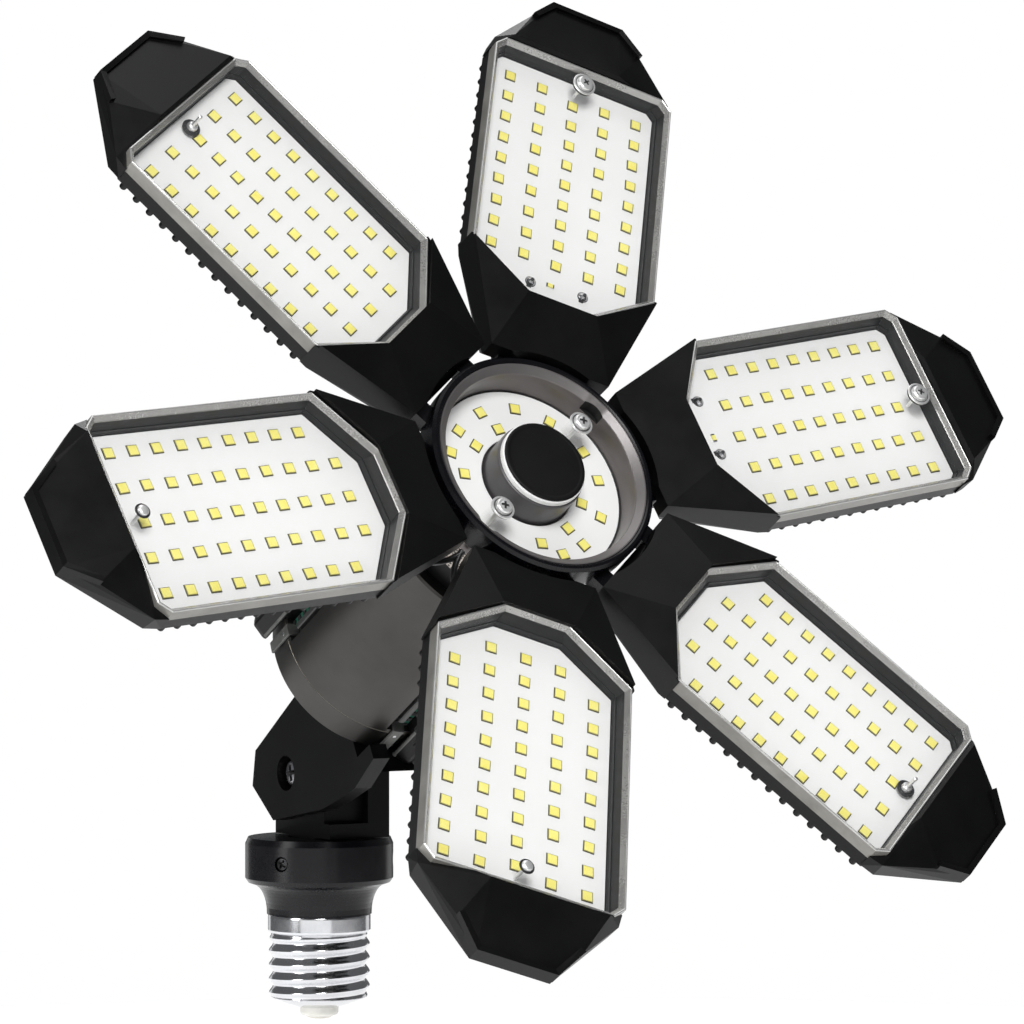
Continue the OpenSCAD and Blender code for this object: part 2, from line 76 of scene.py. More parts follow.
class Mat:
    def __init__(self, name):
        self.m = bpy.data.materials.new(name)
        self.m.use_nodes = True
        self.t = self.m.node_tree
        self.t.nodes.clear()
        self.out = self.t.nodes.new("ShaderNodeOutputMaterial")
        self.p = self.t.nodes.new("ShaderNodeBsdfPrincipled")
        self.t.links.new(self.p.outputs[0], self.out.inputs["Surface"])
        self.coord = self.t.nodes.new("ShaderNodeTexCoord")

    def noise(self, scale, detail=3.0, rough=0.5, space="Object", stretch=None):
        n = self.t.nodes.new("ShaderNodeTexNoise")
        n.inputs["Scale"].default_value = scale
        n.inputs["Detail"].default_value = detail
        n.inputs["Roughness"].default_value = rough
        src = self.coord.outputs[space]
        if stretch:
            mp = self.t.nodes.new("ShaderNodeMapping")
            mp.inputs["Scale"].default_value = stretch
            self.t.links.new(src, mp.inputs["Vector"])
            src = mp.outputs["Vector"]
        self.t.links.new(src, n.inputs["Vector"])
        return n.outputs[0]

    def remap(self, value, a, b, c, d):
        n = self.t.nodes.new("ShaderNodeMapRange")
        n.inputs["From Min"].default_value = a
        n.inputs["From Max"].default_value = b
        n.inputs["To Min"].default_value = c
        n.inputs["To Max"].default_value = d
        self.t.links.new(value, n.inputs["Value"])
        return n.outputs[0]

    def ramp(self, value, stops):
        n = self.t.nodes.new("ShaderNodeValToRGB")
        r = n.color_ramp
        while len(r.elements) < len(stops):
            r.elements.new(0.5)
        for e, (pos, col) in zip(r.elements, stops):
            e.position = pos
            e.color = (*col, 1)
        self.t.links.new(value, n.inputs[0])
        return n.outputs[0]

    def math(self, op, a, b=None):
        n = self.t.nodes.new("ShaderNodeMath")
        n.operation = op
        for i, x in enumerate((a, b)):
            if x is None:
                continue
            if isinstance(x, (int, float)):
                n.inputs[i].default_value = x
            else:
                self.t.links.new(x, n.inputs[i])
        return n.outputs[0]

    def bump(self, height, strength, distance):
        n = self.t.nodes.new("ShaderNodeBump")
        n.inputs["Strength"].default_value = strength
        n.inputs["Distance"].default_value = distance
        self.t.links.new(height, n.inputs["Height"])
        self.t.links.new(n.outputs[0], self.p.inputs["Normal"])

    def link(self, value, *names):
        self.t.links.new(value, socket(self.p, *names))

    def put(self, value, *names):
        socket(self.p, *names).default_value = value


def finish(name, dark, light, rough, metal=0.0, patch=60, grain=1500, grain_depth=0.00002, grain_strength=0.25,
           coat=0.0, coat_rough=0.1, ior=1.5, specular=0.5, stretch=None):
    """A moulded or metal finish: mottled colour, uneven gloss and fine grain."""
    m = Mat(name)
    broad = m.noise(patch, 4, 0.6, stretch=stretch)
    fine = m.noise(grain, 2, 0.6)
    m.link(m.ramp(broad, [(0.3, dark), (0.7, light)]), "Base Color")
    both = m.math("ADD", m.math("MULTIPLY", broad, 0.7), m.math("MULTIPLY", fine, 0.3))
    m.link(m.remap(both, 0.3, 0.7, rough[0], rough[1]), "Roughness")
    m.put(metal, "Metallic")
    m.put(ior, "IOR")
    m.put(specular, "Specular IOR Level", "Specular")
    if coat:
        m.put(coat, "Coat Weight", "Coat")
        m.put(coat_rough, "Coat Roughness")
    m.bump(fine, grain_strength, grain_depth)
    return m.m


black_gloss = finish("black_gloss", (0.0012, 0.0012, 0.0022), (0.0025, 0.0025, 0.004), (0.2, 0.32), patch=80, grain=2500, grain_strength=0.08, specular=0.3)
black_satin = finish("black_satin", (0.0014, 0.0014, 0.0015), (0.003, 0.0031, 0.0029), (0.28, 0.42), patch=50, grain=3000, grain_strength=0.15, specular=0.2)
black_neck = finish("black_neck", (0.0013, 0.0013, 0.0014), (0.0028, 0.0028, 0.003), (0.34, 0.46), patch=45, grain=3200, grain_strength=0.3, specular=0.16)
black_fin = finish("black_anodised", (0.0015, 0.0015, 0.0016), (0.0035, 0.0035, 0.0037), (0.34, 0.48), patch=70, grain=2600, grain_strength=0.3, specular=0.2)
barrel_paint = finish("barrel_lacquer", (0.05, 0.0475, 0.045), (0.075, 0.0715, 0.068), (0.3, 0.4), metal=0.92, patch=35, grain=2200, grain_strength=0.4, grain_depth=0.00003)
cup_paint = finish("cup_lacquer", (0.1, 0.09, 0.088), (0.145, 0.13, 0.127), (0.28, 0.38), metal=0.6, patch=40, grain=2200, grain_strength=0.3, grain_depth=0.00003)
# painted highlight: a lighter copy of the cup paint, used on the rim's top and inner chamfer
cup_rim = finish("cup_rim_painted_highlight", (0.14, 0.13, 0.13), (0.19, 0.178, 0.177), (0.32, 0.42), metal=0.6, patch=40, grain=2200, grain_strength=0.2, grain_depth=0.00003)
# painted shade for the pockets in the cup wall
cup_shade = finish("cup_pocket_painted_shade", (0.004, 0.004, 0.004), (0.008, 0.008, 0.008), (0.4, 0.55), patch=60, grain=2200, grain_strength=0.3, specular=0.2)
frame_satin = finish("frame_satin", (0.27, 0.265, 0.255), (0.38, 0.374, 0.36), (0.22, 0.32), metal=0.55, patch=60, grain=2500, grain_strength=0.15)
# painted highlight: a bright band along the frame's crest
crest_highlight = finish("frame_crest_painted_highlight", (0.4, 0.4, 0.39), (0.55, 0.55, 0.54), (0.18, 0.28), metal=0.6, patch=90, grain=2500, grain_strength=0.1)
frame_dark = finish("frame_wall", (0.004, 0.004, 0.004), (0.009, 0.0088, 0.0085), (0.3, 0.44), patch=70, grain=2500, grain_strength=0.2, specular=0.2)
frame_side = finish("frame_side", (0.17, 0.164, 0.15), (0.27, 0.262, 0.24), (0.28, 0.42), metal=0.4, patch=110, grain=2500, grain_strength=0.35)
chrome = finish("bright_plating", (0.66, 0.67, 0.69), (0.74, 0.74, 0.76), (0.12, 0.19), metal=1.0, patch=120, grain=1800, grain_strength=0.06)
screw_chrome = finish("screw_plating", (0.76, 0.76, 0.755), (0.86, 0.86, 0.855), (0.3, 0.42), metal=0.75, patch=300, grain=3500, grain_strength=0.15)
# painted shade: a dark copy of the screw plating for recesses and grooves
screw_recess_shade = finish("screw_recess_shade", (0.16, 0.16, 0.157), (0.26, 0.26, 0.255), (0.3, 0.45), metal=0.8, patch=300, grain=3500, grain_strength=0.15)
steel = finish("zinc_steel", (0.38, 0.39, 0.41), (0.5, 0.5, 0.52), (0.25, 0.4), metal=1.0, patch=200, grain=3000, grain_strength=0.2)
screw_dark = finish("screw_dark", (0.02, 0.02, 0.021), (0.045, 0.045, 0.047), (0.25, 0.4), metal=0.9, patch=300, grain=3000, grain_strength=0.2)
brass = finish("contact_metal", (0.62, 0.6, 0.55), (0.74, 0.72, 0.66), (0.18, 0.32), metal=1.0, patch=250, grain=2500, grain_strength=0.2)
button_white = finish("button_ivory", (0.72, 0.71, 0.66), (0.8, 0.79, 0.74), (0.3, 0.42), patch=150, grain=2500, grain_strength=0.08)
board_white = finish("solder_mask_white", (0.87, 0.87, 0.855), (0.92, 0.92, 0.91), (0.36, 0.5), patch=22, grain=1600, grain_strength=0.06, specular=0.3)
board_core = finish("board_edge", (0.45, 0.44, 0.38), (0.6, 0.58, 0.5), (0.5, 0.7), patch=150, grain=2500)
board_green = finish("solder_mask_green", (0.01, 0.07, 0.045), (0.015, 0.11, 0.07), (0.25, 0.4), patch=120, grain=2000, grain_strength=0.2)
led_body = finish("led_body", (0.42, 0.38, 0.11), (0.55, 0.5, 0.16), (0.35, 0.5), patch=700, grain=4000, grain_strength=0.1)
led_lens = finish("led_phosphor", (0.96, 0.85, 0.18), (1.0, 0.93, 0.28), (0.34, 0.5), patch=260, grain=5000, grain_strength=0.2)
# dark pad colour, also a painted shadow outline round each LED
led_pad_and_shadow = finish("led_pad_and_shadow", (0.05, 0.047, 0.02), (0.1, 0.094, 0.045), (0.3, 0.5), metal=0.3, patch=700, grain=4000)
solder = finish("solder", (0.45, 0.45, 0.46), (0.62, 0.62, 0.63), (0.15, 0.3), metal=1.0, patch=600, grain=4000, grain_strength=0.3)
part_black = finish("component_black", (0.008, 0.008, 0.009), (0.018, 0.018, 0.019), (0.35, 0.5), patch=500, grain=4000)
post_grey = finish("post_grey", (0.06, 0.057, 0.061), (0.085, 0.08, 0.085), (0.32, 0.42), patch=60, grain=2600, grain_strength=0.2)
post_white = finish("post_white", (0.84, 0.84, 0.835), (0.9, 0.9, 0.895), (0.22, 0.34), patch=80, grain=2600, grain_strength=0.1)
cap_black = finish("post_cap_black", (0.002, 0.002, 0.002), (0.004, 0.004, 0.004), (0.42, 0.52), patch=50, grain=3500, grain_strength=0.35, specular=0.2)
strip_grey = finish("strip_grey", (0.035, 0.035, 0.034), (0.06, 0.059, 0.057), (0.3, 0.45), metal=0.4, patch=90, grain=2500, grain_strength=0.3)
seam_light = finish("seam_light", (0.14, 0.13, 0.105), (0.2, 0.188, 0.155), (0.2, 0.35), metal=0.7, patch=90, grain=2500, grain_strength=0.3)
clip_grey = finish("clip_grey", (0.06, 0.062, 0.058), (0.11, 0.113, 0.105), (0.35, 0.55), metal=0.3, patch=260, grain=2500, grain_strength=0.5)
wire_black = finish("wire_black", (0.008, 0.008, 0.009), (0.016, 0.016, 0.017), (0.3, 0.45), patch=200, grain=3000, grain_strength=0.2)


def sleeve_material():
    """Grey sleeve with rows of small round dimples, set out along its own u and v; each dimple is darker towards its
    centre, painted shade.
    """
    m = Mat("dimpled_sleeve")
    mp = m.t.nodes.new("ShaderNodeMapping")
    mp.inputs["Scale"].default_value = (1.0, 1.0, 1.0)
    m.t.links.new(m.coord.outputs["UV"], mp.inputs["Vector"])
    v = m.t.nodes.new("ShaderNodeTexVoronoi")
    v.feature = "F1"
    v.inputs["Scale"].default_value = 1.0
    v.inputs["Randomness"].default_value = 0.0
    m.t.links.new(mp.outputs[0], v.inputs["Vector"])
    d = v.outputs["Distance"]
    # painted shade: the colour darkens towards each dimple's centre, and the same mask drives the bump
    pit_shade = m.remap(d, 0.26, 0.4, 0.0, 1.0)
    m.link(m.ramp(pit_shade, [(0.0, (0.09, 0.08, 0.07)), (1.0, (0.5, 0.45, 0.4))]), "Base Color")
    m.link(m.remap(m.noise(900), 0.3, 0.7, 0.32, 0.5), "Roughness")
    m.put(0.3, "Metallic")
    m.bump(pit_shade, 0.9, 0.0003)
    return m.m


def clear_material(name, tint, alpha, rough):
    """Thin clear plastic: mostly see-through, with a weak reflection."""
    m = Mat(name)
    n = m.noise(40, 3)
    m.link(m.ramp(n, [(0.3, tuple(0.85 * c for c in tint)), (0.7, tint)]), "Base Color")
    m.link(m.remap(m.noise(300, 3), 0.3, 0.7, rough, rough + 0.05), "Roughness")
    m.put(alpha, "Alpha")
    m.bump(m.noise(12, 2), 0.05, 0.0001)
    if hasattr(m.m, "blend_method"):
        m.m.blend_method = "BLEND"
    return m.m


sleeve_mat = sleeve_material()
window_mat = clear_material("clear_window", (0.3, 0.31, 0.32), 0.035, 0.03)
post_clear = clear_material("clear_post", (0.6, 0.61, 0.61), 0.02, 0.1)


# ------------------------------------------------------------------ mesh building, in millimetres
class Shape:
    def __init__(self):
        self.v, self.f, self.mi, self.sm, self.uv = [], [], [], [], {}

    def add(self, verts, faces, mat=0, smooth=False, m=None, uvs=None):
        base = len(self.v)
        for p in verts:
            q = Vector(p)
            self.v.append(m @ q if m is not None else q)
        for i, f in enumerate(faces):
            if uvs is not None:
                self.uv[len(self.f)] = [uvs[j] for j in f]
            self.f.append([base + j for j in f])
            self.mi.append(mat)
            self.sm.append(smooth)

    def make(self, name, mats, matrix, flip=False, sharp=35, bevel=0.0, segments=2):
        me = bpy.data.meshes.new(name)
        me.from_pydata([(matrix @ v) * MM for v in self.v], [], self.f)
        for mt in mats:
            me.materials.append(mt)
        me.polygons.foreach_set("material_index", self.mi)
        me.polygons.foreach_set("use_smooth", self.sm)
        if self.uv:
            layer = me.uv_layers.new(name="UVMap")
            for i, poly in enumerate(me.polygons):
                for li, uv in zip(poly.loop_indices, self.uv.get(i, [])):
                    layer.data[li].uv = uv
        me.validate(clean_customdata=False)
        import bmesh
        bm = bmesh.new()
        bm.from_mesh(me)
        bmesh.ops.recalc_face_normals(bm, faces=bm.faces)
        bm.to_mesh(me)
        bm.free()
        if any(self.sm):
            me.set_sharp_from_angle(angle=math.radians(sharp))
        o = bpy.data.objects.new(name, me)
        bpy.context.scene.collection.objects.link(o)
        if bevel:
            b = o.modifiers.new("edge", "BEVEL")
            b.width = bevel * MM
            b.segments = segments
            b.limit_method = "ANGLE"
            b.angle_limit = math.radians(30)
            b.harden_normals = False
        return o


def supported(profile):
    """Adds a point close to each end of the long segments, so smooth bands keep a true shade."""
    out = [profile[0]]
    for (r0, z0), (r1, z1) in zip(profile, profile[1:]):
        d = math.hypot(r1 - r0, z1 - z0)
        if d > 0.9:
            f = 0.14 / d
            out.append((r0 + (r1 - r0) * f, z0 + (z1 - z0) * f))
            out.append((r1 - (r1 - r0) * f, z1 - (z1 - z0) * f))
        out.append((r1, z1))
    return out


def lathe(s, profile, n=64, mat=0, smooth=True, m=None, closed=False, scale_uv=None, start=0.0, sweep=360.0):
    """Revolves (r, z) pairs about Z."""
    if smooth and not closed:
        profile = supported(profile)
    full = abs(sweep - 360) < 1e-6
    cols = n if full else n + 1
    rings, verts, uvs = [], [], []
    for r, z in profile:
        if r < 1e-6:
            rings.append([len(verts)] * cols)
            verts.append((0, 0, z))
            uvs.append((0, 0))
        else:
            ring = []
            for j in range(cols):
                a = math.radians(start + sweep * j / n)
                ring.append(len(verts))
                verts.append((r * math.cos(a), r * math.sin(a), z))
                uvs.append((a, z))
            rings.append(ring)
    faces = []
    k = len(rings)
    for i in range(k if closed else k - 1):
        a, b = rings[i], rings[(i + 1) % k]
        for j in range(n):
            j2 = (j + 1) % cols if full else j + 1
            f = []
            for q in (a[j], a[j2], b[j2], b[j]):
                if q not in f:
                    f.append(q)
            if len(f) > 2:
                faces.append(f)
    s.add(verts, faces, mat, smooth, m)


def prism(s, poly, z0, z1, mat=0, m=None, side=None, top=None):
    n = len(poly)
    v = [(x, y, z0) for x, y in poly] + [(x, y, z1) for x, y in poly]
    s.add(v, [list(range(n))[::-1]], mat, False, m)
    s.add(v, [[n + i for i in range(n)]], mat if top is None else top, False, m)
    s.add(v, [[i, (i + 1) % n, n + (i + 1) % n, n + i] for i in range(n)], mat if side is None else side, False, m)


def loft(s, loops, mats, m=None, close_ends=False, smooth=False):
    """Joins loops of (x, y, z) points, with a material for each band."""
    n = len(loops[0])
    v = [p for lp in loops for p in lp]
    for i in range(len(loops) - 1):
        s.add(v, [[i * n + j, i * n + (j + 1) % n, (i + 1) * n + (j + 1) % n, (i + 1) * n + j] for j in range(n)], mats[i], smooth, m)
    if close_ends:
        s.add(loops[0], [list(range(n))[::-1]], mats[0], smooth, m)
        s.add(loops[-1], [list(range(n))], mats[-1], smooth, m)


def block(s, x0, x1, y0, y1, z0, z1, mat=0, c=0.0, m=None, top=None):
    """Box with its upper edges cut back by c."""
    a = [(x0, y0), (x1, y0), (x1, y1), (x0, y1)]
    b = [(x0 + c, y0 + c), (x1 - c, y0 + c), (x1 - c, y1 - c), (x0 + c, y1 - c)]
    if c:
        loops = [[(x, y, z0) for x, y in a], [(x, y, z1 - c) for x, y in a], [(x, y, z1) for x, y in b]]
        loft(s, loops, [mat, mat], m)
        s.add(loops[0], [[3, 2, 1, 0]], mat, False, m)
        s.add(loops[-1], [[0, 1, 2, 3]], mat if top is None else top, False, m)
    else:
        prism(s, a, z0, z1, mat, m, top=top)


def tube(s, path, r, n=12, mat=0, m=None):
    pts = [Vector(p) for p in path]
    verts, faces = [], []
    up = Vector((1, 0, 0))
    for i, p in enumerate(pts):
        t = (pts[min(i + 1, len(pts) - 1)] - pts[max(i - 1, 0)]).normalized()
        side = t.cross(up).normalized()
        q = t.cross(side)
        for j in range(n):
            a = 2 * math.pi * j / n
            verts.append(p + r * (math.cos(a) * side + math.sin(a) * q))
    for i in range(len(pts) - 1):
        for j in range(n):
            faces.append([i * n + j, i * n + (j + 1) % n, (i + 1) * n + (j + 1) % n, (i + 1) * n + j])
    faces.append(list(range(n))[::-1])
    faces.append([(len(pts) - 1) * n + j for j in range(n)])
    s.add(verts, faces, mat, True, m)


def smooth_path(pts, per=6):
    """Catmull-Rom curve through the points."""
    p = [Vector(q) for q in pts]
    p = [2 * p[0] - p[1]] + p + [2 * p[-1] - p[-2]]
    out = []
    for i in range(1, len(p) - 2):
        for j in range(per):
            t = j / per
            a, b, c, d = p[i - 1], p[i], p[i + 1], p[i + 2]
            out.append(0.5 * ((2 * b) + (c - a) * t + (2 * a - 5 * b + 4 * c - d) * t * t + (3 * b - a - 3 * c + d) * t ** 3))
    out.append(p[-2])
    return out


def cross_outline(a, w):
    """Four-armed recess, arm half-length a and half-width w."""
    q = [(a, -w), (a, w), (w, w), (w, a), (-w, a), (-w, w), (-a, w), (-a, -w), (-w, -w), (-w, -a), (w, -a), (w, -w)]
    return q[::1]


def cross_screw(s, r, h, arm, m, mat=0, dark=1, n=40, base=0.0, turn=20.0, dome=0.35):
    """Pan head with a cross recess. Its seat is at z = base."""
    rim = [(r * 0.9, base), (r, base + 0.12 * h), (r, base + 0.55 * h), (r * 0.93, base + 0.8 * h), (r * 0.78, base + 0.95 * h)]
    lathe(s, [(0, base)] + rim, n, mat, True, m)
    top_r, z_top = rim[-1]
    w = arm * 0.28
    inner = cross_outline(arm, w)
    c, sn = math.cos(math.radians(turn)), math.sin(math.radians(turn))
    inner = [(x * c - y * sn, x * sn + y * c) for x, y in inner]
    outer = [(top_r * math.cos(2 * math.pi * j / n), top_r * math.sin(2 * math.pi * j / n)) for j in range(n)]
    polys = [[Vector((x, y, 0)) for x, y in outer], [Vector((x, y, 0)) for x, y in inner]]
    tri = tessellate_polygon(polys)
    flat = outer + inner
    def zt(x, y):
        return z_top + dome * h * 0.3 * (1 - (x * x + y * y) / (top_r * top_r))
    s.add([(x, y, zt(x, y)) for x, y in flat], [list(t) for t in tri], mat, True, m)
    # the recess walls and floor take the dark material, painted shade
    depth = min(h * 0.75, 1.1)
    floor = [(x * 0.55, y * 0.55, z_top - depth) for x, y in inner]
    loft(s, [[(x, y, zt(x, y)) for x, y in inner], floor], [dark], m)
    s.add(floor, [[0, 1, 2, 11], [2, 3, 4, 5], [5, 6, 7, 8], [8, 9, 10, 11], [2, 5, 8, 11]], dark, False, m)


# ------------------------------------------------------------------ camera, at the photograph's viewing angle
cam = bpy.data.cameras.new("camera")
cam.sensor_width = 36.0
cam.lens = 36.0 * 4133.0 / 1024.0
cam.clip_start, cam.clip_end = 0.05, 20
cam_o = bpy.data.objects.new("camera", cam)
bpy.context.scene.collection.objects.link(cam_o)
cam_o.location = (0.9354, -0.5273, 0.10407)
cam_o.rotation_euler = Vector((-0.8473, 0.5311, 0.0)).to_track_quat("-Z", "Y").to_euler()
bpy.context.scene.camera = cam_o


def paint(node, mat):
    o = nodes[node]
    if not o.data.materials:
        o.data.materials.append(mat)
    for s in o.material_slots:
        s.link = "OBJECT"
        s.material = mat
    return o


def soften(node, width, angle=28, segments=2):
    b = nodes[node].modifiers.new("edge", "BEVEL")
    b.width = width * MM
    b.segments = segments
    b.limit_method = "ANGLE"
    b.angle_limit = math.radians(angle)
    b.harden_normals = False


def put(o, body, slot, *replaced):
    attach(o, body)
    if replaced:
        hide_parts(*replaced)
    return o


# ------------------------------------------------------------------ screw cap
I4 = Matrix.Identity(4)
PITCH, CREST, ROOT, SKIRT = 3.629, 13.1, 12.0, 13.3


def thread_shell():
    s = Shape()
    n = 120
    rows = 170
    z_top, z_bot = -4.8, -21.5
    first = -8.6
    verts, faces = [], []
    for i in range(rows + 1):
        z = z_top + (z_bot - z_top) * i / rows
        for j in range(n):
            a = 2 * math.pi * j / n
            ph = ((z - first) / PITCH - (a - CAM_AT) / (2 * math.pi)) % 1.0
            tri = abs(2 * ph - 1)
            wave = 0.55 * tri + 0.45 * (0.5 + 0.5 * math.cos(2 * math.pi * ph))
            fade = min(1.0, max(0.0, (z_top - z - 0.3) / 1.6)) * min(1.0, max(0.0, (z - z_bot - 0.1) / 1.4))
            fade = fade * fade * (3 - 2 * fade)
            r = 12.45 * (1 - fade) + (ROOT + (CREST - ROOT) * wave) * fade
            verts.append((r * math.cos(a), r * math.sin(a), z))
    for i in range(rows):
        for j in range(n):
            faces.append([i * n + j, i * n + (j + 1) % n, (i + 1) * n + (j + 1) % n, (i + 1) * n + j])
    s.add(verts, faces, 0, True)
    lathe(s, [(11.4, 0.0), (13.05, 0.0), (13.25, -0.25), (SKIRT, -0.6), (SKIRT, -4.1), (13.15, -4.5), (12.8, -4.72), (12.45, -4.81)], 120, 0, True)
    lathe(s, [(12.45, -21.5), (12.2, -21.75), (9.6, -22.8), (7.2, -23.62), (6.2, -23.92), (5.75, -24.0), (5.06, -23.9)], 120, 0, True)
    return s.make("cap_shell", [chrome], I4, sharp=60)


CAM_AT = math.atan2(-0.5273, 0.9354)
put(thread_shell(), "base", "chrome", "screw_shell")

s = Shape()
lathe(s, [(5.0, -23.0), (5.0, -25.5), (4.9, -25.95), (4.6, -26.25), (4.2, -26.38), (3.65, -26.4), (0, -26.4)], 72, 0, True)
lathe(s, [(5.0, -23.0), (5.0, -20.9), (9.2, -20.85), (9.2, -18.5), (0, -18.5)], 72, 0, True)
put(s.make("cap_button", [button_white], I4, sharp=50), "base", "insulator", "cap_insulator")

s = Shape()
lathe(s, [(0, -27.38), (0.9, -27.35), (1.9, -27.26), (2.7, -27.08), (3.3, -26.82), (3.55, -26.6), (3.6, -26.42), (0, -26.42)], 48, 0, True)
lathe(s, [(0, -27.4), (0.5, -27.39), (0.9, -27.36)], 24, 1, True)
put(s.make("cap_contact", [brass, solder], I4, sharp=60), "base", "contact", "centre_contact")

# collar: band with a conical rim and a concave flare, its three screw holes as in the CAD part
paint("base_collar", black_gloss)
soften("base_collar", 0.18, 30)

s = Shape()
for a in (-60, 60, 180):
    m = Matrix.Rotation(math.radians(a), 4, "Z") @ Matrix.Translation((0, 0, 14)) @ Matrix.Rotation(math.radians(90), 4, "Y")
    lathe(s, [(0, 7.2), (0.8, 7.2), (0.8, 9.0), (1.85, 9.0), (1.85, 17.8)], 32, 0, True, m)
    cross_screw(s, 1.85, 1.2, 1.25, m @ Matrix.Rotation(math.radians(a), 4, "Z"), 0, 1, 32, 17.6, 30)
put(s.make("collar_screws", [screw_dark, part_black], I4, sharp=40), "base", "steel", "set_screws")

# ------------------------------------------------------------------ neck
paint("neck_knuckle", black_neck)
soften("neck_knuckle", 0.35, 30)
paint("neck_arm", black_neck)
soften("neck_arm", 0.3, 30)
paint("pivot_nut", steel)
soften("pivot_nut", 0.15, 30)

s = Shape()
m = Matrix.Translation((0, 0, 36.6)) @ Matrix.Rotation(math.radians(90), 4, "X")
lathe(s, [(0, -12.0), (2.1, -12.0), (2.5, -11.6), (2.5, 6.5), (2.9, 6.55)], 40, 0, True, m)
cross_screw(s, 3.4, 2.0, 2.1, m, 0, 1, 48, 6.5, 12)
put(s.make("pivot_bolt", [steel, part_black], I4, sharp=40), "knuckle", "chrome", "pivot_screw")

# ------------------------------------------------------------------ housing
paint("rear_housing", barrel_paint)
paint("rear_cover", barrel_paint)
soften("rear_cover", 0.25, 25)
soften("rear_housing", 0.2, 35)
paint("driver_board", board_green)

ribs, strips, clips, floors, slivers = Shape(), Shape(), Shape(), Shape(), Shape()
for i in range(3):
    mr = Matrix.Rotation(math.radians(CAM_SIDE + 60 + 120 * i), 4, "Z")
    # floor of the slot, dark, with a row of small vent ribs
    for a in range(16):
        t0, t1 = math.radians(-23.4 + 46.8 * a / 16), math.radians(-23.4 + 46.8 * (a + 1) / 16)
        p = [(22.7 * math.cos(t0), 22.7 * math.sin(t0)), (24.3 * math.cos(t0), 24.3 * math.sin(t0)),
             (24.3 * math.cos(t1), 24.3 * math.sin(t1)), (22.7 * math.cos(t1), 22.7 * math.sin(t1))]
        prism(floors, p, -86.2, -34.0, 0, mr)
    # black rib: sloping cheeks, rounded crest, rolled end over the rear cover
    prof = [(24.4, -4.3), (27.5, -4.35), (28.2, -4.0), (30.7, -1.7), (30.95, -1.2), (31.0, 0), (30.95, 1.2), (30.7, 1.7), (28.2, 4.0), (27.5, 4.35), (24.4, 4.3)]
    loops = [[(x, y, -84.0) for x, y in prof], [(x, y, -36.6) for x, y in prof], [(24.4 + (x - 24.4) * 0.93, y * 0.95, -36.25) for x, y in prof]]
    loft(ribs, loops, [0, 0], mr, True)
    hood = [(max(x, 27.1), y) for x, y in prof]
    e = 0.9 if i == 0 else 0.0
    loops = [[(27.1 + (x - 27.1) * 0.8, y * 0.86, -96.35 + e) for x, y in hood], [(27.1 + (x - 27.1) * 0.96, y * 0.96, -95.7 + e) for x, y in hood],
             [(x, y, -94.6 + e) for x, y in hood], [(x, y, -83.9) for x, y in hood]]
    loft(ribs, loops, [0, 0, 0], mr, True)
    for sgn in (-1, 1):
        # pale lip along the rib's foot
        lip = [(27.05, 4.15), (27.7, 4.45), (28.05, 4.25), (28.35, 3.8), (27.6, 3.7)]
        lip = [(x, sgn * y) for x, y in lip]
        prism(strips, lip if sgn > 0 else lip[::-1], -94.8, -37.0, 1, mr)
        ms = mr @ Matrix.Rotation(math.radians(sgn * 17.5), 4, "Z")
        prism(strips, [(24.3, -0.9), (26.0, -0.9), (26.3, -0.6), (26.3, 0.6), (26.0, 0.9), (24.3, 0.9)], -80.9, -36.4, 0, ms)
        mc = mr @ Matrix.Rotation(math.radians(sgn * 16.5), 4, "Z")
        pc = [(26.9, -1.55), (27.35, -1.55), (27.5, -1.3), (27.5, 1.3), (27.35, 1.55), (26.9, 1.55)]
        prism(clips, pc, -93.5, -83.5, 0, mc)
        prism(clips, [(24.4, -1.5), (27.3, -1.5), (27.3, 1.5), (24.4, 1.5)], -84.05, -83.45, 0, mc)
        lathe(clips, [(0, 0.0), (0.42, 0.0), (0.5, 0.08), (0.5, 0.2), (0, 0.22)], 16, 1, True, mc @ Matrix.Translation((27.32, 0, -86.2)) @ Matrix.Rotation(math.radians(90), 4, "Y"))
        # edge of the driver board, just seen in the slot
        mb = mr @ Matrix.Rotation(math.radians(sgn * 12.2), 4, "Z")
        prism(slivers, [(24.32, -1.0), (24.95, -1.0), (24.95, 1.0), (24.32, 1.0)], -85.6, -76.0, 0, mb)
        for q in range(3):
            block(slivers, 24.9, 25.35, -0.55, 0.55, -84.4 + 2.9 * q, -83.0 + 2.9 * q, 1, 0.0, mb)
put(floors.make("vent_floors", [part_black], HEAD), "head", "black_satin", "vent_rails")
put(ribs.make("vent_ribs", [black_satin], HEAD, bevel=0.12), "head", "black_satin", "vent_rails")
put(strips.make("vent_strips", [strip_grey, clip_grey], HEAD, bevel=0.08), "head", "barrel", "vent_rails")
put(clips.make("vent_clips", [clip_grey, solder], HEAD, bevel=0.08), "head", "barrel", "vent_rails")
put(slivers.make("vent_boards", [board_green, part_black], HEAD), "head", "driver", "vent_rails")

# seam ring between barrel and rear cover
s = Shape()
lathe(s, [(25.2, -85.61), (26.74, -85.61), (26.8, -85.7), (26.74, -85.79), (25.2, -85.79)], 128, 0, True)
put(s.make("rear_seam", [seam_light], HEAD), "head", "barrel")

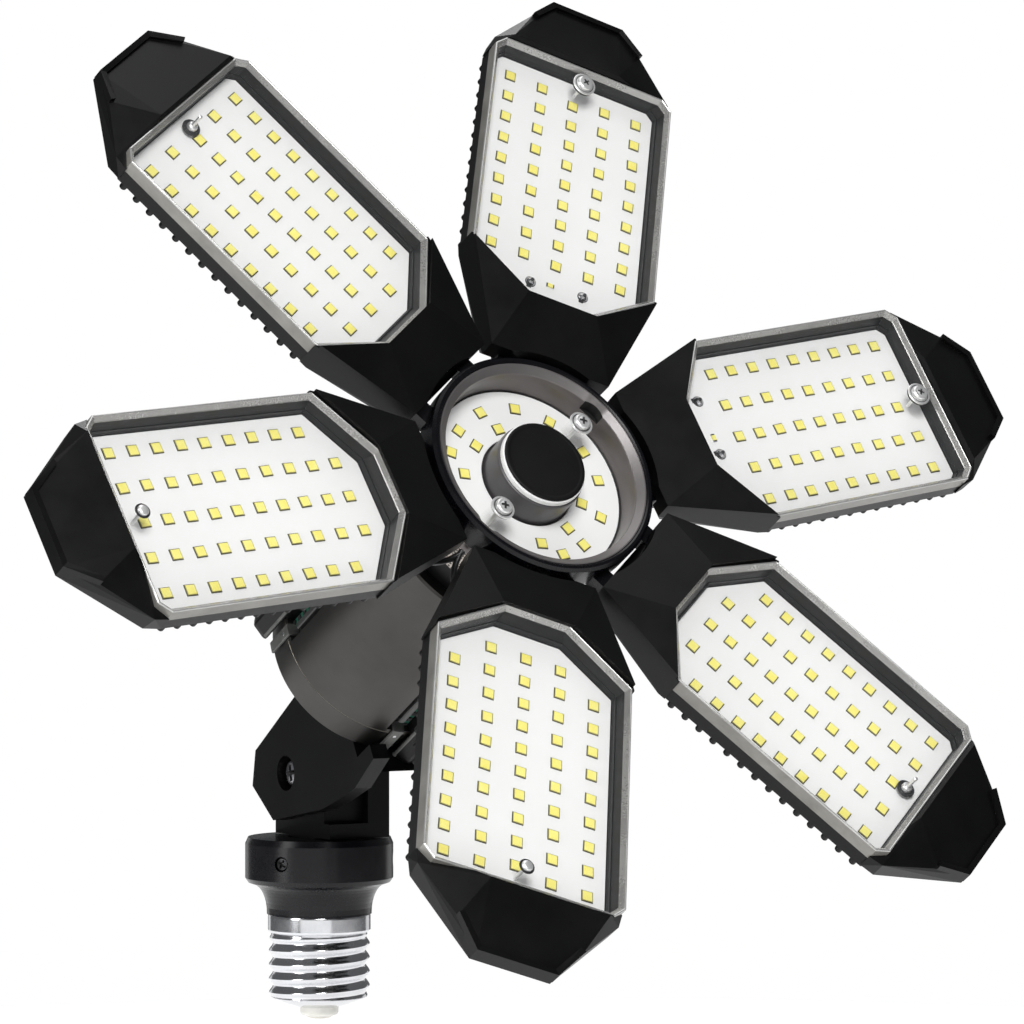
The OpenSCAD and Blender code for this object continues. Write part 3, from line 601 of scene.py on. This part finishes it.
# dimpled sleeve, with its u and v in units of one dimple
def sleeve():
    s = Shape()
    n = 144
    verts, faces, uvs = [], [], []
    prof = [(24.6, -9.12 - 10.88 * i / 12) for i in range(13)]
    for r, z in prof:
        for j in range(n + 1):
            a = 2 * math.pi * j / n
            verts.append((r * math.cos(a), r * math.sin(a), z))
            uvs.append((a * 24.6 / 0.98, z / 0.98))
    for i in range(len(prof) - 1):
        for j in range(n):
            faces.append([i * (n + 1) + j, i * (n + 1) + j + 1, (i + 1) * (n + 1) + j + 1, (i + 1) * (n + 1) + j])
    s.add(verts, faces, 0, True, None, uvs)
    lathe(s, [(24.6, -20.0), (24.45, -20.1), (23.45, -20.45), (23.4, -20.6), (23.4, -28.15), (22.45, -28.15), (22.45, -9.12), (24.6, -9.12)], 96, 1, False)
    return s.make("sleeve_dimpled", [sleeve_mat, black_satin], HEAD, sharp=50)


put(sleeve(), "head", "sleeve", "mesh_sleeve")

# ------------------------------------------------------------------ hub
paint("hub_ring", black_gloss)
soften("hub_ring", 0.2, 30)


def pocket(a, z, r):
    """Wall radius at angle a: a round pocket behind each screw, open at the top."""
    if z > 1.7 or z < -1.48:
        return r
    for c in (CAM_SIDE, CAM_SIDE + 180):
        d = (a - c + 180) % 360 - 180
        q = 22.3 * math.sin(math.radians(d))
        if abs(d) < 30 and abs(q) < 4.2:
            return max(r, 22.3 * math.cos(math.radians(d)) + math.sqrt(4.2 ** 2 - q * q))
    return r


def cup():
    s = Shape()
    n = 360
    prof = [(8.0, -8.95), (27.65, -8.95), (27.68, 2.6), (27.6, 2.85), (27.3, 2.82), (25.62, 1.62), (25.5, 1.4), (25.47, 0.62), (25.46, 0.58), (25.45, -1.4), (25.449, -1.5), (25.42, -6.0), (25.4, -6.95), (25.4, -7.1), (25.3, -7.38), (8.0, -7.38)]
    verts = []
    for r, z in prof:
        for j in range(n):
            a = 360 * j / n
            q = pocket(a, z, r) if 25.35 < r < 25.7 else r
            verts.append((q * math.cos(math.radians(a)), q * math.sin(math.radians(a)), z))
    m = len(prof)
    for i in range(m):
        for j in range(n):
            i2, j2 = (i + 1) % m, (j + 1) % n
            a = 360 * (j + 0.5) / n
            # pocket faces take the near-black paint: painted shade in the pocket behind each screw
            pocket_shade_face = 25.35 < prof[i][0] < 25.7 and pocket(a, 0, 25.42) > 25.43 and -1.45 < prof[i][1] < 1.7
            # rim faces (top and inner chamfer) take the lighter copy of the cup paint, a painted highlight
            rim = 2.5 < prof[i][1] and prof[i2][1] < 3 or prof[i][1] > 1.6 and 1.3 < prof[i2][1] < 1.7
            s.add([], [], 0)
            s.f.append([i * n + j, i * n + j2, i2 * n + j2, i2 * n + j])
            s.mi.append(1 if pocket_shade_face else (2 if rim else 0))
            s.sm.append(True)
    s.v = [Vector(v) for v in verts]
    return s.make("cup_wall", [cup_paint, cup_shade, cup_rim], HEAD, sharp=25)


put(cup(), "head", "barrel", "hub_reflector")
s = Shape()
for a in (CAM_SIDE, CAM_SIDE + 180):
    m = Matrix.Rotation(math.radians(a), 4, "Z") @ Matrix.Translation((18.8, 0, 0))
    lathe(s, [(2.9, -7.35), (3.05, -7.2), (2.7, -5.9), (2.45, 1.2), (2.4, 1.5), (1.6, 1.5)], 48, 0, True, m)
put(s.make("hub_posts", [post_clear], HEAD, sharp=40), "head", "barrel", "hub_reflector")
paint("hinge_pins", steel)

HUB_LEDS = [(20.4, 172), (20.4, 145), (20.4, 114), (20.4, 91), (20.4, 61), (20.4, 31), (20.4, 11), (20.4, -35),
            (20.4, -66), (20.4, -113), (20.4, -133), (20.4, -159), (14.9, 66), (14.9, 30), (14.9, -131), (14.9, -166), (17, -4), (17, -97)]


def led(s, x, y, z, m=None, turn=0.0, size=2.8):
    """One LED package: dark pads, which run round the body as a painted shadow outline, body, yellow window."""
    mm = Matrix.Translation((x, y, z)) @ Matrix.Rotation(math.radians(turn), 4, "Z")
    if m is not None:
        mm = m @ mm
    h = size / 2
    # dark pad a little wider than the body all round: pads and a painted contact shadow
    block(s, -h - 0.05, h + 0.05, -h - 0.05, h + 0.05, 0, 0.14, 2, 0.0, mm)
    block(s, -h + 0.16, h - 0.16, -h + 0.16, h - 0.16, 0.08, 0.4, 0, 0.05, mm)
    w = h - 0.24
    loops = [[(-w, -w, 0.4), (w, -w, 0.4), (w, w, 0.4), (-w, w, 0.4)], [(-w + 0.08, -w + 0.08, 0.46), (w - 0.08, -w + 0.08, 0.46), (w - 0.08, w - 0.08, 0.46), (-w + 0.08, w - 0.08, 0.46)]]
    loft(s, loops, [1], mm)
    s.add(loops[1], [[0, 1, 2, 3]], 1, False, mm)


def ring_board():
    s = Shape()
    n = 128
    lathe(s, [(12.1, -7.3), (12.1, -6.32), (12.25, -6.2), (25.05, -6.2), (25.2, -6.32), (25.2, -7.3)], n, 0, True)
    lathe(s, [(25.2, -7.3), (12.1, -7.3)], n, 1, False)
    return s.make("hub_board", [board_white, board_core], HEAD, sharp=30)


put(ring_board(), "head", "board", "hub_led_board")
s = Shape()
for r, a in HUB_LEDS:
    led(s, r, 0, -6.2, Matrix.Rotation(math.radians(a), 4, "Z"))
put(s.make("hub_leds", [led_body, led_lens, led_pad_and_shadow], HEAD), "head", "board", "hub_led_board")
# painted shade: a black ring standing in for the shadowed gap between the board and the foot of the wall
s = Shape()
lathe(s, [(25.05, -6.3), (25.05, -6.12), (25.38, -6.05), (25.38, -6.3)], 128, 0, True)
put(s.make("hub_gap_painted_shade", [part_black], HEAD), "head", "board", "hub_led_board")

# centre post: grey body, white band and black disc (the bosses for the two screws, standing through the board, and the
# relief pocket beside each in the wall are built above)
s = Shape()
lathe(s, [(0, -8.9), (7.7, -8.9), (7.9, -8.7), (7.9, -7.3), (11.2, -7.3), (11.5, -7.0), (11.5, 0.5), (11.4, 1.05), (11.15, 1.24), (0, 1.24)], 96, 0, True)
put(s.make("post_body", [post_grey], HEAD, sharp=40), "head", "post_grey", "centre_post")
s = Shape()
lathe(s, [(0, 1.27), (10.9, 1.27), (11.05, 1.4), (11.05, 2.55), (10.95, 2.74), (10.75, 2.8), (0, 2.8)], 96, 0, True)
put(s.make("post_band", [post_white], HEAD, sharp=40), "head", "post_white", "post_ring")
s = Shape()
lathe(s, [(0, 2.83), (10.6, 2.83), (10.7, 2.95), (10.7, 3.18), (10.55, 3.38), (10.3, 3.44), (9.7, 3.46), (9.55, 3.4), (9.3, 3.38), (0, 3.38)], 96, 0, True)
put(s.make("post_disc", [cap_black], HEAD, sharp=40), "head", "black_satin", "post_cap")

s = Shape()
for a in (CAM_SIDE, CAM_SIDE + 180):
    m = Matrix.Rotation(math.radians(a), 4, "Z") @ Matrix.Translation((18.8, 0, 0))
    lathe(s, [(1.45, 1.52), (2.95, 1.52), (3.05, 1.62), (3.05, 1.9), (2.95, 2.0), (2.5, 2.0)], 48, 0, True, m)
    # groove between washer and head in the recess colour: painted shade
    lathe(s, [(2.5, 2.0), (2.45, 1.85), (2.2, 1.85), (2.1, 2.02)], 48, 1, True, m)
    lathe(s, [(0, -8.85), (0.5, -8.85), (0.6, -8.5), (0.6, 1.6)], 32, 2, True, m)
    cross_screw(s, 2.15, 1.2, 1.05, m, 0, 1, 48, 2.0, 35)
put(s.make("hub_bolts", [screw_chrome, screw_recess_shade, board_white], HEAD, sharp=40), "head", "chrome", "hub_screws")

# ------------------------------------------------------------------ leaves
LEAF_HW, LED_DX, LED_DY, ROW0 = 25.2, 9.0, 6.53, 55.34


def leaf_outline(g=0.0):
    h = LEAF_HW
    return [(-8.2 - g * 0.3, 45.8 - g), (8.2 + g * 0.3, 45.8 - g), (h + g, 57.6 - g * 0.55), (h + g, 118.2 + g * 0.4),
            (h - 2.8 + g * 0.4, 121 + g), (-h + 2.8 - g * 0.4, 121 + g), (-h - g, 118.2 + g * 0.4), (-h - g, 57.6 - g * 0.55)]


def board_outline(g=0.0):
    return [(-8.6 - g * 0.3, 49 - g), (8.6 + g * 0.3, 49 - g), (22.6 + g, 58.5 - g * 0.55), (22.6 + g, 117.4 + g * 0.4),
            (20.7 + g * 0.4, 119.3 + g), (-20.7 - g * 0.4, 119.3 + g), (-22.6 - g, 117.4 + g * 0.4), (-22.6 - g, 58.5 - g * 0.55)]


def level(o, z):
    return [(x, y, z) for x, y in o]


LEAD = [(14.6, 24.6, -7.4), (15, 26.2, -8.2), (15.4, 28.6, -9), (15.5, 31.4, -9.3), (15.2, 34.4, -9.2), (14.8, 37.2, -8.6),
        (14.6, 39, -7.4), (14.5, 39.8, -5.6), (14.4, 39.9, -3.8), (14.4, 39.9, -1.8)]

for k in range(1, 7):
    L = leaf_m(k)
    body = f"leaf_{k}"
    h = hand(k)
    paint(f"leaf_{k}_heatsink", black_fin)
    soften(f"leaf_{k}_heatsink", 0.12, 35, 1)
    paint(f"leaf_{k}_root_cap", black_satin)
    soften(f"leaf_{k}_root_cap", 0.3, 12)
    paint(f"leaf_{k}_tip_cap", black_satin)
    soften(f"leaf_{k}_tip_cap", 0.3, 12)

    # board: white mask over a pale core, and the small parts at its root
    s = Shape()
    loft(s, [level(board_outline(), -1.75), level(board_outline(), -0.72), level(board_outline(-0.12), -0.6)], [1, 0], None)
    s.add(level(board_outline(-0.12), -0.6), [list(range(8))], 0)
    s.add(level(board_outline(), -1.75), [list(range(8))[::-1]], 1)
    put(s.make(f"leaf_{k}_board", [board_white, board_core], L), body, "board", f"leaf_{k}_led_board")

    s = Shape()
    rows = 9 if k in (1, 2) else 10
    for c in (-2, -1, 0, 1, 2):
        for r in range(rows):
            if abs(c) == 2 and r == 9:
                continue
            y = ROW0 + (9 - r) * LED_DY - (1.9 * (1 - r / 9) if c == 0 else 0)
            led(s, c * LED_DX + random.uniform(-0.08, 0.08), y + random.uniform(-0.08, 0.08), -0.6, None, random.uniform(-2, 2))
    put(s.make(f"leaf_{k}_leds", [led_body, led_lens, led_pad_and_shadow], L), body, "board", f"leaf_{k}_led_board")

    s = Shape()
    spots = {1: [(-6.4, 54.4, 1), (8.0, 55.6, 1), (-1.1, 55.3, 0)], 2: [(-11.2, 54.6, 1), (3.9, 54.0, 1), (-0.7, 54.1, 0)]}.get(k, [])
    for x, y, kind in spots:
        m = Matrix.Translation((x, y, -0.6))
        if kind:
            # soldered lead end: dark pin in a bright fillet
            lathe(s, [(1.45, 0.0), (1.45, 0.12), (1.3, 0.14)], 24, 0, True, m)
            lathe(s, [(1.3, 0.0), (1.2, 0.3), (0.85, 0.7), (0.5, 1.0), (0, 1.05)], 24, 1, True, m)
            lathe(s, [(0.42, 0.5), (0.42, 1.4), (0.3, 1.5), (0, 1.5)], 16, 0, True, m)
            block(s, -1.0, 0.2, -1.75, -1.15, 0, 0.3, 0, 0.08, m)
        else:
            block(s, -1.1, -0.65, -0.55, 0.55, 0, 0.35, 1, 0.05, m)
            block(s, 0.65, 1.1, -0.55, 0.55, 0, 0.35, 1, 0.05, m)
            block(s, -0.7, 0.7, -0.5, 0.5, 0.05, 0.5, 2, 0.05, m)
    if spots:
        put(s.make(f"leaf_{k}_parts", [part_black, solder, led_lens], L), body, "board", f"leaf_{k}_led_board")

    # cover frame: outer wall, crest, bevel, dark inner wall; the crest band is a lighter material, a painted highlight
    s = Shape()
    loops = [level(board_outline(0.25), -0.4), level(leaf_outline(-0.75), 1.02), level(leaf_outline(0.0), 1.02), level(leaf_outline(0.0), 4.65), level(leaf_outline(-0.1), 4.9), level(leaf_outline(-0.32), 4.99),
             level(leaf_outline(-0.5), 4.9), level(leaf_outline(-1.3), 3.95), level(leaf_outline(-1.45), 3.7), level(board_outline(0.34), 0.2), level(board_outline(0.14), -0.45)]
    loft(s, loops, [1, 1, 3, 2, 2, 2, 0, 0, 1, 1], None)
    put(s.make(f"leaf_{k}_frame", [frame_satin, frame_dark, crest_highlight, frame_side], L), body, "cover", f"leaf_{k}_cover")

    s = Shape()
    loft(s, [level(leaf_outline(-0.5), 4.62), level(leaf_outline(-0.5), 4.82)], [0], None, True)
    put(s.make(f"leaf_{k}_window", [window_mat], L), body, "cover", f"leaf_{k}_cover")

    # cover screw: a washer over the window, a pin below it, or a small head over it
    s = Shape()
    m = Matrix.Translation((0, 115.6, 0))
    kind = {1: 0, 2: 0, 3: 1, 6: 1}.get(k, 2)
    if kind == 0:
        lathe(s, [(1.2, 5.02), (3.0, 5.02), (3.1, 5.12), (3.08, 5.3), (2.9, 5.4), (1.2, 5.4)], 48, 0, True, m)
        # black ring between washer and head: painted shade
        lathe(s, [(2.35, 5.4), (2.5, 5.41), (2.5, 5.44), (2.35, 5.46)], 48, 1, True, m)
        cross_screw(s, 2.1, 0.98, 0.9, m, 0, 2, 48, 5.4, 25 + 17 * k)
        lathe(s, [(0.45, 4.4), (0.45, -4.5), (0, -4.55)], 24, 3, True, m)
        # black collar under the washer: a painted shadow below it
        lathe(s, [(3.05, 5.02), (3.0, 4.5), (2.7, 4.3), (0.85, 4.3)], 40, 1, True, m)
    elif kind == 1:
        lathe(s, [(0, 0.3), (2.15, 0.3), (2.3, 0.42), (2.3, 0.66), (2.15, 0.8), (1.2, 0.8)], 48, 1, True, m)
        lathe(s, [(1.35, 0.72), (1.35, 1.2), (1.25, 1.6), (1.0, 1.85), (0.55, 1.9), (0.5, 2.1), (0.42, 3.2), (0.42, 4.9), (0.5, 5.1), (0.5, 5.55), (0.3, 5.68), (0, 5.7)], 32, 0, True, m)
        lathe(s, [(1.2, 0.4), (1.2, -4.5), (0, -4.55)], 24, 1, True, m)
    else:
        lathe(s, [(1.2, 5.02), (1.8, 5.02), (1.9, 5.1), (1.85, 5.26), (1.4, 5.3)], 40, 1, True, m)
        lathe(s, [(1.4, 5.28), (1.36, 5.6), (1.15, 5.85), (0.7, 5.97), (0, 6.0)], 32, 0, True, m)
        lathe(s, [(0.45, 5.02), (0.45, -4.5), (0, -4.55)], 24, 3, True, m)
    put(s.make(f"leaf_{k}_bolt", [screw_chrome, part_black, screw_recess_shade, board_white], L, sharp=40), body, "chrome", f"leaf_{k}_screw")

    # lead from the hub to the leaf
    s = Shape()
    pts = [(h * x, y, z) for x, y, z in LEAD]
    tube(s, smooth_path(pts, 5), 0.75, 14, 0)
    o = s.make(f"leaf_{k}_lead", [wire_black], L)
    a = L @ Vector((h * 15, 28, -8.5)) * MM
    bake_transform(o)
    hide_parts("leaf_leads")

# ------------------------------------------------------------------ floor and light
floor_mat = Mat("pale_floor")
floor_mat.link(floor_mat.ramp(floor_mat.noise(1.5, 3), [(0.3, (0.88, 0.88, 0.88)), (0.7, (0.92, 0.92, 0.92))]), "Base Color")
floor_mat.link(floor_mat.remap(floor_mat.noise(6), 0.3, 0.7, 0.7, 0.85), "Roughness")
floor_mat.put((1, 1, 1, 1), "Emission Color", "Emission")
floor_mat.put(0.42, "Emission Strength")
s = Shape()
lathe(s, [(0, 0), (40, 0), (200, 0), (620, 0)], 96, 0, False)
z_floor = -86.0
floor = s.make("floor", [floor_mat.m], Matrix.Translation((90, 0, z_floor)))


def area(name, loc, target, size, power, size_y=None, colour=(1, 1, 1)):
    d = bpy.data.lights.new(name, "AREA")
    d.shape = "RECTANGLE"
    d.size = size
    d.size_y = size_y or size
    d.energy = power
    d.color = colour
    o = bpy.data.objects.new(name, d)
    o.location = loc
    o.rotation_euler = (Vector(target) - Vector(loc)).to_track_quat("-Z", "Y").to_euler()
    bpy.context.scene.collection.objects.link(o)
    return o


aim = (0.1, 0.0, 0.1)
CAM_DIR = Vector((0.8711, -0.4911, 0))
RIGHT_DIR = Vector((0.4911, 0.8711, 0))


def around(angle, dist, z):
    """A place at this angle to the right of the camera, seen from the fixture."""
    a = math.radians(angle)
    q = CAM_DIR * math.cos(a) * dist + RIGHT_DIR * math.sin(a) * dist
    return (q.x, q.y, z)


area("key", (1.38, -0.56, 0.95), aim, 0.7, 21.5, 0.7)
area("left", (0.1, -1.28, 0.42), aim, 0.4, 9, 1.0)
area("top", (0.0, 0.1, 1.5), aim, 1.0, 6, 1.0)
area("back", (-0.95, 0.75, 1.15), (0.03, 0, 0.08), 0.8, 7, 0.6)
# low strips for the plated cap: wide in front, narrow at both sides
area("strip_front", around(-8, 1.45, -0.06), (0, 0, 0.0), 2.0, 2.0, 0.4)
area("strip_left", around(-152, 0.9, -0.04), (0, 0, 0.0), 0.3, 0.24, 0.4)
area("strip_right", around(140, 0.9, -0.04), (0, 0, 0.0), 0.35, 0.28, 0.4)


world = bpy.data.worlds.new("studio")
bpy.context.scene.world = world
world.use_nodes = True
wt = world.node_tree
wt.nodes.clear()
wo = wt.nodes.new("ShaderNodeOutputWorld")
wmix = wt.nodes.new("ShaderNodeMixShader")
lp = wt.nodes.new("ShaderNodeLightPath")
b_cam = wt.nodes.new("ShaderNodeBackground")
b_cam.inputs["Color"].default_value = (1, 1, 1, 1)
b_cam.inputs["Strength"].default_value = 1.0
b_lit = wt.nodes.new("ShaderNodeBackground")
b_lit.inputs["Color"].default_value = (0.95, 0.97, 1.0, 1)
b_lit.inputs["Strength"].default_value = 0.13
wt.links.new(lp.outputs["Is Camera Ray"], wmix.inputs[0])
wt.links.new(b_lit.outputs[0], wmix.inputs[1])
wt.links.new(b_cam.outputs[0], wmix.inputs[2])
wt.links.new(wmix.outputs[0], wo.inputs["Surface"])

bpy.context.scene.view_settings.view_transform = "Standard"
bpy.context.scene.view_settings.look = "None"
bpy.context.scene.view_settings.exposure = 0.0
